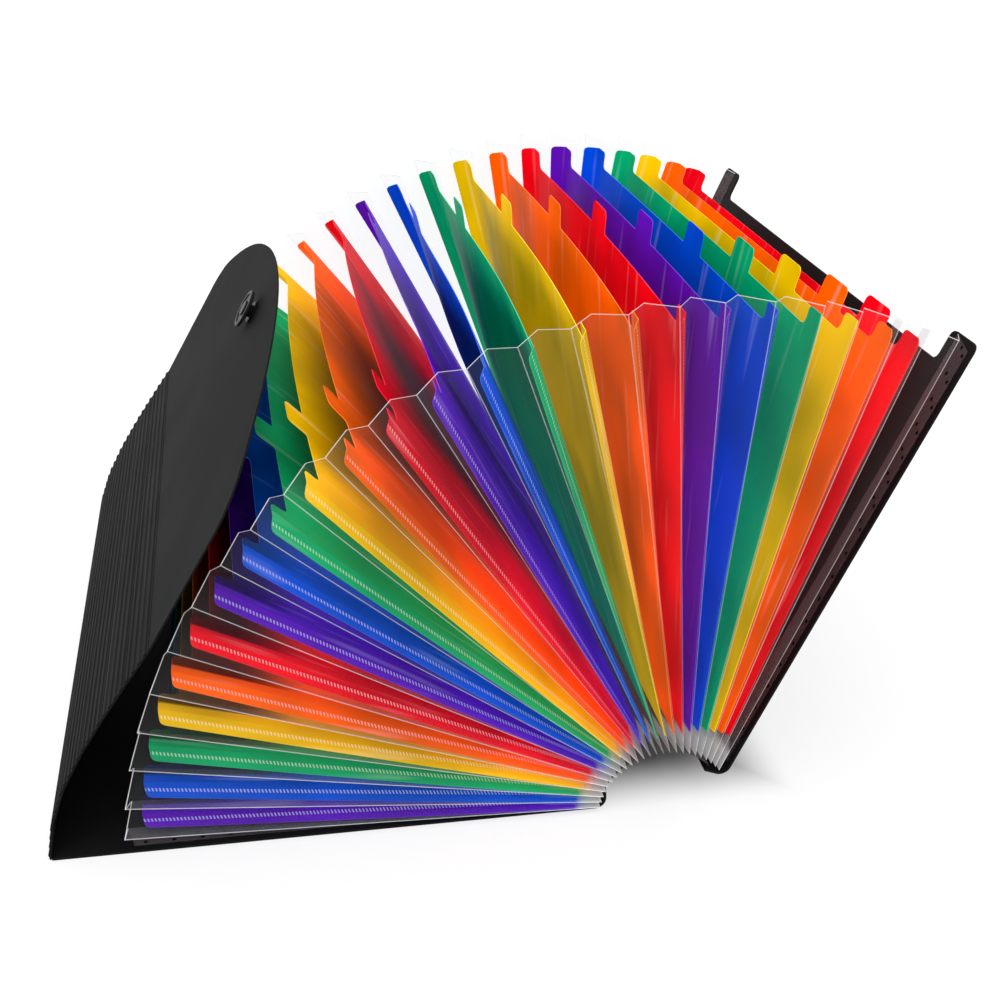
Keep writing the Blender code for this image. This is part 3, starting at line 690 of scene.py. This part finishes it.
# %% Black plastics
GRAIN_DEPTH = 0.0002
MOTTLE_ROUGHNESS = 0.03
RIB_SHEEN_TONE = 5.0
RIB_STRETCH = (1.0, 0.004, 1.0)


def black_finish(name, colour, roughness, grain_scale, grain_strength, grain_tone, rib_sheen_share=0.0):
    m, tree, shader, _ = new_material(name)
    where = object_coordinates(tree)
    grain = group_node(tree, grain_group, where, Scale=grain_scale)
    wear_and_sheen = group_node(tree, handling_and_sheen_group, where)
    base = colour_mix(tree, grain.outputs["Tone"], (*colour, 1.0), shade(colour, grain_tone))
    if rib_sheen_share:
        # Painted sheen: fine lighter lines where the ribs catch light.
        rib_sheen = math_node(tree, "MULTIPLY", rib_lines(tree, where), rib_sheen_share)
        base = colour_mix(tree, rib_sheen, base, shade(colour, RIB_SHEEN_TONE))
    tree.links.new(base, shader.inputs["Base Color"])
    rough = smoothly(tree, wear_and_sheen.outputs["Mottle"], 0.0, 1.0, roughness, roughness + MOTTLE_ROUGHNESS)
    tree.links.new(rough, shader.inputs["Roughness"])
    tree.links.new(bump(tree, grain.outputs["Height"], grain_strength, GRAIN_DEPTH), shader.inputs["Normal"])
    shader.inputs["Specular IOR Level"].default_value = BLACK_SHINE
    return m


def rib_lines(tree, where):
    """Painted sheen of the ribs: fine lighter lines along Y, close together in some places and far apart in others."""
    along_ribs = mapped(tree, where, RIB_STRETCH)
    fine = smoothly(tree, noise(tree, along_ribs, 330.0, 3.0, 0.8), 0.50, 0.72)
    groups = smoothly(tree, noise(tree, along_ribs, 60.0, 1.0), 0.40, 0.62)
    return math_node(tree, "MULTIPLY", fine, groups)


cover_black = black_finish("grained_black_cover", (0.0085, 0.0085, 0.0090), 0.46, grain_scale=1400.0,
                           grain_strength=0.25, grain_tone=1.10)
flap_black = black_finish("grained_black_flap", (0.0080, 0.0083, 0.0085), 0.66, grain_scale=1600.0,
                          grain_strength=0.3, grain_tone=1.10)
rib_black = black_finish("ribbed_black_flap", (0.0080, 0.0080, 0.0083), 0.62, grain_scale=1600.0,
                         grain_strength=0.3, grain_tone=1.20, rib_sheen_share=0.50)
button_black = black_finish("moulded_black_button", (0.010, 0.010, 0.011), 0.28, grain_scale=2600.0,
                            grain_strength=0.05, grain_tone=1.3)
print("finishes:", len(bpy.data.materials))

# %% [markdown]
# ## Coloured dividers
# A divider is one thin sheet. Its top edge is recessed, with an ear at each end and one tab, and at each end it
# folds into the gusset's pleat. In the photograph the sheets bow a little. Each starts as a grid primitive whose
# columns stand where the outline changes. The end edges are then extruded into the flanges, the sheet is bowed, and
# Solidify gives it its thickness, with a rim of painted light. The weld marks need a map that runs along the flange,
# so the sheet carries a UV map in metres: u from the fold line, v up the sheet.

# %% Divider outline
ROUND_STEPS = 4
BROAD_STEP = 0.014
SLANT = CLEARANCE / 4


def rounded_step(y, low, high, fillet, radius, rising):
    """Points of an upright side between two heights, filleted at its foot and rounded at its head."""
    sign = 1 if rising else -1
    turns = [math.pi / 2 * i / ROUND_STEPS for i in range(ROUND_STEPS + 1)]
    foot = [(y - sign * fillet * (1 - math.sin(a)), low + fillet * (1 - math.cos(a))) for a in turns]
    head = [(y + sign * radius * (1 - math.cos(a)), high - radius + radius * math.sin(a)) for a in turns]
    points = [(py + sign * SLANT * (h - low) / (high - low), h) for py, h in foot + head]
    return points if rising else points[::-1]


def divider_edge(k, pleat):
    """The top edge of divider k from fold to fold, as (y, height), with extra points where it runs straight."""
    top = pleat.height
    recess, ear, tab = top - RECESS_DROP, top - EAR_DROP, top - TAB_DROP
    fold = abs(pleat.inside_face(top, FLANGE_FOLD_SHARE, -1)[1])
    centre = TAB_FIRST_Y + TAB_STEP * ((DIVIDERS - k) % TABS_PER_ROW)
    near = fold - EAR_WIDTH
    edge = [(-fold, ear)]
    edge += rounded_step(-near, recess, ear, EAR_FILLET, CORNER_RADIUS, False)
    edge += rounded_step(centre - TAB_WIDTH / 2, recess, tab, TAB_FILLET, TAB_ROUND, True)
    edge += rounded_step(centre + TAB_WIDTH / 2, recess, tab, TAB_FILLET, TAB_ROUND, False)
    edge += rounded_step(near, recess, ear, EAR_FILLET, CORNER_RADIUS, True)
    edge.append((fold, ear))
    full = [edge[0]]
    for (ya, ha), (yb, hb) in zip(edge, edge[1:]):
        extra = int((yb - ya) / BROAD_STEP)
        full += [(ya + (yb - ya) * i / (extra + 1), ha + (hb - ha) * i / (extra + 1)) for i in range(1, extra + 1)]
        full.append((yb, hb))
    return full


# %% Bow of the sheets
# In millimetres for dividers 1 to 24, positive towards the front cover: how far the middle of the top edge swells,
# how far the middle of the sheet sags under its own weight, and how far its two ends twist against each other. HANG
# above 1 moves the deepest sag up the sheet.
TOP_SWELL = (-1, -1, -2, -2, -3, -3, -4, -4, -5, -6, -6, -2, 0, 4, 6, 6.5, 6, 5, 4, 3, 2.5, 2, 1.5, 0.5)
MIDDLE_SAG = (0, 0, -1, -1, -2, -2, -3, -4, -5, -5, -5.5, -5, -4, -4, -4, -4, -3, -3, -2, -1.5, -1, -0.5, 0, 0)
TWIST = (1, 1, 1, 1, 1, 1, 1.5, 1.5, 1.5, 2, 2, 3.5, 5.5, 5.5, 4, 2.5, 1.5, 1, 1, 1, 1, 1, 0.5, 0.5)
HANG = 1.2


def bow(k, s_share, y):
    """How far divider k stands off its plane: nothing at its foot and its folds, most in its middle."""
    y_share = y / VALLEY_Y
    across = max(1 - y_share**2, 0.0)
    climb = min(s_share, 1.0)
    swell = TOP_SWELL[k - 1] * climb**3 + MIDDLE_SAG[k - 1] * math.sin(math.pi * climb**HANG)
    twist = -TWIST[k - 1] * math.sin(math.pi * max(-1.0, min(y_share, 1.0))) * math.sin(math.pi * climb)
    return (swell * across + twist) / 1000


# %% Flanges of the dividers
SHEET_ROWS = 12
# Each step of a flange: its share of the way from the fold to the free edge, how far its top has fallen, as a share
# of the ear's corner, and how far its foot has risen, as a share of FLANGE_FOOT.
FLANGE_STEPS = ((0.35, 0.25, 0.35), (0.75, 0.62, 0.75), (0.93, 1.05, 0.92), (1.0, 1.7, 1.15))


def extruded_side(obj, line, where):
    """Extrudes the line of vertices once, moves the fresh ones to where(place in the line) and gives them back."""
    alone(obj)
    bpy.ops.object.mode_set(mode="EDIT")
    bpy.ops.mesh.select_mode(type="VERT")
    bpy.ops.mesh.select_all(action="DESELECT")
    bpy.ops.object.mode_set(mode="OBJECT")
    for i in line:
        obj.data.vertices[i].select = True
    bpy.ops.object.mode_set(mode="EDIT")
    bpy.ops.mesh.extrude_region_move()
    bpy.ops.object.mode_set(mode="OBJECT")
    old = [obj.data.vertices[i].co.copy() for i in line]
    fresh = [v.index for v in obj.data.vertices if v.select]
    ordered = sorted(fresh, key=lambda i: min(
        range(len(old)), key=lambda j: (obj.data.vertices[i].co - old[j]).length))
    for j, i in enumerate(ordered):
        obj.data.vertices[i].co = where(j)
    return ordered


def flange_reach(share, climb, side):
    """The share of the pleat's face that a line of the flange stands at. At the foot the flange fills the face."""
    edge = FAR_FLANGE_SHARE if side > 0 else FLANGE_FOOT_SHARE + (FLANGE_EDGE_SHARE - FLANGE_FOOT_SHARE) * climb
    return FLANGE_FOLD_SHARE + (edge - FLANGE_FOLD_SHARE) * share


def add_flange(obj, pleat, line, side):
    """Extrudes one end of the sheet, step by step, into the flange. Gives back u for each fresh vertex."""
    foot = pleat.height - SHEET_DEPTH
    u_of = {}
    for share, fall, foot_share in FLANGE_STEPS:
        top = pleat.height - EAR_DROP - (EAR_CORNER_DROP - EAR_DROP) * fall
        low = foot + FLANGE_FOOT * foot_share

        def flange_at(r):
            s = low + (top - low) * r / SHEET_ROWS
            a, y = pleat.inside_face(s, flange_reach(share, (s - low) / (top - low), side), side)
            return pleat.place(s, a, y)

        line = extruded_side(obj, line, flange_at)
        for i in line:
            u_of[i] = share * (FLANGE_EDGE_SHARE - FLANGE_FOLD_SHARE) * PLEAT_WIDTH
    return u_of


# %% Build the dividers
NO_MARK = -0.02


def map_welds(obj, pleat, u_of):
    """The map that the weld marks follow: u from the fold line, v up the sheet. NO_MARK keeps them off."""
    weld_map = fresh_map(obj, "Weld")
    for loop in obj.data.loops:
        p = obj.data.vertices[loop.vertex_index].co
        v = (Vector((p.x, p.z)) - pleat.low).dot(pleat.up)
        u = u_of.get(loop.vertex_index, NO_MARK if abs(p.y) < VALLEY_Y else 0.0)
        weld_map.data[loop.index].uv = (u, v)


def keep_marks_outside(obj):
    """Takes the weld marks off the faces that look into the folder."""
    marks = obj.data.uv_layers["Weld"]
    for face in obj.data.polygons:
        if face.normal.y * face.center.y < 0:
            for loop_index in face.loop_indices:
                marks.data[loop_index].uv.x = NO_MARK


def build_divider(k):
    name = COLOUR_ORDER[(k - 1) % len(COLOUR_ORDER)]
    pleat = Pleat(k)
    foot = pleat.height - SHEET_DEPTH
    edge = divider_edge(k, pleat)
    recess = pleat.height - RECESS_DROP
    columns, rows = len(edge), SHEET_ROWS + 1
    last = columns - 1
    obj = new_grid(f"divider_{k:02d}_{name}_sheet", columns, rows)

    def at(r, c):
        y, top = edge[c]
        ceiling = min(recess - TAB_FILLET, top - CORNER_RADIUS)
        if r == rows - 1:
            s = top
        elif c in (0, last):
            s = foot + (top - foot) * r / (rows - 1)
        else:
            s = foot + (ceiling - foot) * r / (rows - 2)
        share = (s - foot) / SHEET_DEPTH
        if c in (0, last):
            a, y = pleat.inside_face(s, FLANGE_FOLD_SHARE, -1 if c == 0 else 1)
        else:
            a = pleat.inside_face(s, FLANGE_FOLD_SHARE, -1)[0] + bow(k, share, y)
        return pleat.place(s, a, y)

    spots = place_grid(obj, columns, rows, at)
    u_of = {}
    for c, side in ((0, -1), (last, 1)):
        line = sorted((i for i, spot in enumerate(spots) if spot[1] == c), key=lambda i: spots[i][0])
        u_of.update(add_flange(obj, pleat, line, side))
    map_welds(obj, pleat, u_of)
    give(obj, sheet_finishes[name], edge_finishes[name])
    thicken(obj, SHEET_THICKNESS, rim_slot=1)
    keep_marks_outside(obj)
    smooth(obj, SHEET_SHARP_DEG)
    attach(obj, f"divider_{k:02d}")
    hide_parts(f"divider_{k:02d}_{name}")
    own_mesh(obj)
    return obj


dividers = [build_divider(k) for k in range(1, DIVIDERS + 1)]
print("dividers:", len(dividers), "with", len(dividers[0].data.polygons), "faces each")

# %% [markdown]
# ## The clear gussets
# The film bends over every joint, so it is cut at its valleys into one pleat for each pocket: two faces that meet at
# a ridge. A narrow band along the top has painted light, a whiter colour and a glow, for the light that the cut edge
# of clear film gathers, and so has a band at the foot. A grid primitive gives the faces, bands included, in one
# piece.

# %% Lines of each pleat
EDGE_BAND = 0.0004
FOOT_BAND = 0.0012
PLEAT_ROWS = 15


def cover_face():
    """The front cover's foot, the direction up its sheet and the one towards the back cover."""
    lean = math.radians(FRONT_LEAN_DEG)
    up = Vector((math.cos(lean), math.sin(lean)))
    return Vector(FRONT_FOOT), up, Vector((-up.y, up.x))


def line_3d(low, high, y_low, y_high):
    return Vector((low.x, y_low, low.y)), Vector((high.x, y_high, high.y))


def end_lines(front):
    """The two lines of a gusset's end strip, flat on its cover, from the fold inwards."""
    lines = []
    if front:
        foot, up, inward = cover_face()
        base = foot + inward * (COVER_THICKNESS / 2 + CLEARANCE + FILM_THICKNESS / 2)
        reach = (ridge_line(DIVIDERS + 1)[1] - foot).dot(up)
        low, high = base + up * (LIP_BEND + COVER_THICKNESS), base + up * reach
        back = -up
    else:
        lift = COVER_THICKNESS + CLEARANCE + FILM_THICKNESS / 2
        low = Vector((BACK_LIP_X - COVER_THICKNESS / 2 - LIP_BEND, lift))
        high = Vector((ridge_line(1)[1].x, lift))
        back = Vector((1.0, 0.0))
    for y in (END_FOLD_Y, END_FLANGE_Y):
        drop = END_TOP_DROP if y == END_FLANGE_Y else 0.0
        lines.append(line_3d(low, high + back * drop, y, y))
    return lines


def pleat_lines(k):
    """The fold lines of pleat k, from the body before it to the body after it, at +Y."""
    lines = []
    if k == 1:
        lines += end_lines(False)[::-1]
    else:
        lines.append(line_3d(*valley_line(k - 1), VALLEY_Y, VALLEY_Y))
    lines.append(line_3d(*ridge_line(k), *[VALLEY_Y + d for d in ridge_depths(k)]))
    if k == DIVIDERS + 1:
        lines += end_lines(True)
    else:
        lines.append(line_3d(*valley_line(k), VALLEY_Y, VALLEY_Y))
    return lines


def row_share(r, rows, length):
    """How far up its line row r stands: a band at the foot, even steps, and a narrow band at the top."""
    low, high = FOOT_BAND / length, 1 - EDGE_BAND / length
    if r == 0:
        return 0.0
    if r == rows - 1:
        return 1.0
    return low + (high - low) * (r - 1) / (rows - 3)


# %% Build the pleats
# The last pleats stand before the dark lip of the front cover, so their feet stay clear.
LAST_BRIGHT_FOOT = 22
PLEAT_SLOTS = {"film": 0, "foot": 1, "edge": 2, "strip": 3}


def pleat_kinds(k):
    """What each gap between the fold lines of pleat k is."""
    if k == 1:
        return ["strip", "film", "film"]
    if k == DIVIDERS + 1:
        return ["film", "film", "strip"]
    return ["film", "film"]


def build_pleat(k, side):
    lines, kinds = pleat_lines(k), pleat_kinds(k)
    ridge_at = 2 if k == 1 else 1
    columns, rows = len(lines), PLEAT_ROWS
    name = "near" if side < 0 else "far"
    obj = new_grid(f"{name}_gusset_pleat_{k:02d}", columns, rows)

    def climb_of(r, c):
        length = (lines[c][1] - lines[c][0]).length
        return length * row_share(r, rows, length)

    def at(r, c):
        low, high = lines[c]
        p = low.lerp(high, row_share(r, rows, (high - low).length))
        return Vector((p.x, side * p.y, p.z))

    spots = place_grid(obj, columns, rows, at)
    give(obj, clear_film, film_foot, film_edge, end_strip)
    pleat_map = fresh_map(obj, "Pleat")
    strip_edge = columns - 1 if k == DIVIDERS + 1 else 0
    for face in obj.data.polygons:
        r = min(spots[i][0] for i in face.vertices)
        kind = kinds[min(spots[i][1] for i in face.vertices)]
        # The top row gets the cut-edge film and the foot row the foot film, both with painted light.
        if kind == "film" and r == rows - 2:
            kind = "edge"
        elif kind == "film" and r == 0 and k < LAST_BRIGHT_FOOT:
            kind = "foot"
        face.material_index = PLEAT_SLOTS[kind]
        from_line = strip_edge if kind == "strip" else ridge_at
        for i, loop_index in zip(face.vertices, face.loop_indices):
            row, column = spots[i]
            aside = (at(row, column) - at(row, from_line)).length
            pleat_map.data[loop_index].uv = (aside, climb_of(row, column))
    alone(obj)
    bpy.ops.object.mode_set(mode="EDIT")
    bpy.ops.mesh.select_all(action="SELECT")
    bpy.ops.mesh.normals_make_consistent(inside=False)
    bpy.ops.object.mode_set(mode="OBJECT")
    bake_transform(obj)
    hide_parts(f"{name}_gusset")
    return obj


gussets = [build_pleat(k, side) for side in (-1, 1) for k in range(1, DIVIDERS + 2)]
print("gusset pleats:", len(gussets))

# %% [markdown]
# ## The liner at the spine
# A smooth film arches over the spine, from the back cover's lip to the front cover's. It is cut into one strip for
# each pocket in the same way.

# %% Liner strips
LINER_GAP = 0.0006
LINER_COLUMNS = 12


def build_liner(k):
    """The strip between dividers k - 1 and k."""
    obj = new_grid(f"liner_strip_{k:02d}", LINER_COLUMNS, 3)
    half = HALF_LENGTH - 2 * CLEARANCE

    def at(r, c):
        p = arch_point(k - 1 + r / 2, ARCH_RADIUS - LINER_GAP, 0.0)
        return Vector((p.x, -half + 2 * half * c / (LINER_COLUMNS - 1), p.y))

    place_grid(obj, LINER_COLUMNS, 3, at)
    # The liner's dark film is painted shade under the arch.
    give(obj, liner_painted_shade_film)
    smooth(obj, BEND_SHARP_DEG)
    start, end = at(0, 0), at(2, 0)
    start.y = end.y = 0.0
    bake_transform(obj)
    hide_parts("bottom_liner")
    return obj


liners = [build_liner(k) for k in range(2, DIVIDERS + 1)]
print("liner strips:", len(liners))

# %% [markdown]
# ## Covers, flap and button
# These are stiff, and the CAD already has their true shape, so they stay as they are and get their finish.

# %% Dress the black parts
STRIP_DEGS = (81.0, 71.0, 63.0, 59.0, 57.0, 56.0)
STRIP_NAMES = [f"flap_strip_{i + 1}" for i in range(len(STRIP_DEGS))]
black_parts = {"back_cover": cover_black, "front_cover": cover_black, **{name: rib_black for name in STRIP_NAMES},
               "flap_panel": flap_black, "button_washer": button_black, "button_disc": button_black,
               "button_rivet": button_black}
for part, finish in black_parts.items():
    dress(part, finish)
print("black parts:", len(black_parts))

# %% [markdown]
# ## The folds of the flap
# The flap is one sheet that bends between its ribs. A thin web, buried in both neighbours, bends across each fold so
# that no light shows through it.

# %% Webs in the folds
STRIP_LENGTH = 0.0210
PANEL_DEG = 61.0
BACK_OUTER_X = -0.2110
WEB_REACH = 0.0012
WEB_BEND = 0.0004
WEB_THICKNESS = 0.0005


def heading(degrees):
    """The direction in the XZ plane at an angle up from +X."""
    a = math.radians(degrees)
    return Vector((math.cos(a), 0.0, math.sin(a)))


def build_web(i, fold, before, after):
    """The web across fold i: it comes in against `before` and leaves along `after`."""
    obj = new_grid(f"flap_web_{i}", 2, 5)
    half = HALF_LENGTH - CLEARANCE
    path = [fold - before * WEB_REACH, fold - before * WEB_BEND, fold, fold + after * WEB_BEND,
            fold + after * WEB_REACH]
    place_grid(obj, 2, 5, lambda r, c: path[r] + Vector((0.0, half if c else -half, 0.0)))
    give(obj, rib_black)
    thicken(obj, WEB_THICKNESS)
    smooth(obj, BEND_SHARP_DEG)
    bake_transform(obj)
    return obj


headings = [heading(180.0)] + [heading(d) for d in STRIP_DEGS] + [heading(PANEL_DEG)]
fold = Vector((BACK_OUTER_X - CLEARANCE - COVER_THICKNESS / 2, 0.0, COVER_THICKNESS / 2))
for i in range(1, len(headings)):
    build_web(i, fold, headings[i - 1], headings[i])
    fold = fold + headings[i] * STRIP_LENGTH
print("flap webs:", len(headings) - 1)

# %% [markdown]
# ## Floor, lamps and camera
# The folder stands on a plain white floor under soft light from all round, with one wide lamp above it and a weaker
# one before it. The camera sees the floor lifted to white, except right under the arch, where the shadow stays deep.
# The flap folds back one degree past flat, so the floor falls as gently beside the back cover, down to the flap's tip.

# %% Floor
FLOOR_HALF = 6.0
FLOOR_COLUMNS = ((-FLOOR_HALF, -0.0052), (-0.4900, -0.0052), (-0.2126, 0.0), (FLOOR_HALF, 0.0))
FLOOR_GREY, FLOOR_LIFT = (0.28, 0.28, 0.28, 1.0), 0.71
UNDER_X, UNDER_Y = (-0.120, 0.118), 0.125
UNDER_FADE = 0.045
WHITE = (1.0, 1.0, 1.0, 1.0)

bpy.ops.object.select_all(action="DESELECT")
bpy.ops.mesh.primitive_grid_add(x_subdivisions=3, y_subdivisions=1, size=2 * FLOOR_HALF, location=(0, 0, -0.0002))
floor = bpy.context.object
floor.name = "floor"
for vertex in floor.data.vertices:
    column = round((vertex.co.x + FLOOR_HALF) / (2 * FLOOR_HALF) * (len(FLOOR_COLUMNS) - 1))
    vertex.co.x, vertex.co.z = FLOOR_COLUMNS[column]
floor_material, floor_tree, floor_shader, _ = new_material("white_floor")
floor_shader.inputs["Base Color"].default_value = FLOOR_GREY
floor_shader.inputs["Roughness"].default_value = 0.8
floor_shader.inputs["Emission Color"].default_value = WHITE
floor_x, floor_y, _ = split_vector(floor_tree, object_coordinates(floor_tree))
from_middle = math_node(floor_tree, "ABSOLUTE", math_node(floor_tree, "SUBTRACT", floor_x, sum(UNDER_X) / 2))
half_under = (UNDER_X[1] - UNDER_X[0]) / 2
beside = smoothly(floor_tree, from_middle, half_under, half_under + UNDER_FADE)
before = smoothly(floor_tree, math_node(floor_tree, "ABSOLUTE", floor_y), UNDER_Y, UNDER_Y + UNDER_FADE)
clear_of_folder = math_node(floor_tree, "MAXIMUM", beside, before)
lift = math_node(floor_tree, "MULTIPLY", seen_directly(floor_tree), FLOOR_LIFT)
lift = math_node(floor_tree, "MULTIPLY", lift, clear_of_folder)
floor_tree.links.new(lift, floor_shader.inputs["Emission Strength"])
give(floor, floor_material)
print("floor:", len(floor.data.vertices), "vertices")

# %% World and lamps
WORLD_LIGHT = 0.72
world = bpy.data.worlds.new("soft_white")
bpy.context.scene.world = world
world.use_nodes = True
world_tree = world.node_tree
background = world_tree.nodes["Background"]
background.inputs["Color"].default_value = WHITE
world_strength = math_node(world_tree, "MULTIPLY_ADD", seen_directly(world_tree), 1 - WORLD_LIGHT, WORLD_LIGHT)
world_tree.links.new(world_strength, background.inputs["Strength"])


def soft_sun(name, towards, strength, width):
    """A lamp that is equally bright everywhere, so the floor stays even; its width in radians softens the shadows."""
    data = bpy.data.lights.new(name, "SUN")
    data.energy = strength
    data.angle = width
    lamp = bpy.data.objects.new(name, data)
    bpy.context.scene.collection.objects.link(lamp)
    lamp.rotation_mode = "QUATERNION"
    lamp.rotation_quaternion = Vector(towards).to_track_quat("-Z", "Y")
    return lamp


lamps = [soft_sun("top_light", towards=(0.1, 0.3, -1.5), strength=1.4, width=1.1),
         soft_sun("front_light", towards=(0.30, 1.5, -0.9), strength=0.50, width=1.7)]
print("lamps:", [lamp.name for lamp in lamps])

# %% [markdown]
# ### Camera
# Place, turn and focal length were solved from the covers' corners, the ridge tops and the tabs in the photograph.

# %% Camera
CAMERA_PLACE = (-0.1124, -0.6737, 0.4460)
CAMERA_YAW, CAMERA_PITCH, CAMERA_ROLL = 0.209, 0.475, 0.045
FOCAL_PIXELS, FRAME_PIXELS, SENSOR = 1340.2, 1000.0, 36.0

forward = Vector((math.sin(CAMERA_YAW) * math.cos(CAMERA_PITCH), math.cos(CAMERA_YAW) * math.cos(CAMERA_PITCH),
                  -math.sin(CAMERA_PITCH)))
level = Vector((math.cos(CAMERA_YAW), -math.sin(CAMERA_YAW), 0.0))
upright = level.cross(forward)
right = level * math.cos(CAMERA_ROLL) + upright * math.sin(CAMERA_ROLL)
above = upright * math.cos(CAMERA_ROLL) - level * math.sin(CAMERA_ROLL)
turn = Matrix((right, above, -forward)).transposed()
camera_data = bpy.data.cameras.new("camera")
camera_data.sensor_width = SENSOR
camera_data.lens = FOCAL_PIXELS / FRAME_PIXELS * SENSOR
camera_data.clip_start = 0.01
camera = bpy.data.objects.new("camera", camera_data)
bpy.context.scene.collection.objects.link(camera)
camera.location = CAMERA_PLACE
camera.rotation_mode = "QUATERNION"
camera.rotation_quaternion = turn.to_quaternion()
bpy.context.scene.camera = camera
bpy.context.scene.view_settings.view_transform = "Standard"
print("camera looks along", [round(x, 3) for x in forward])
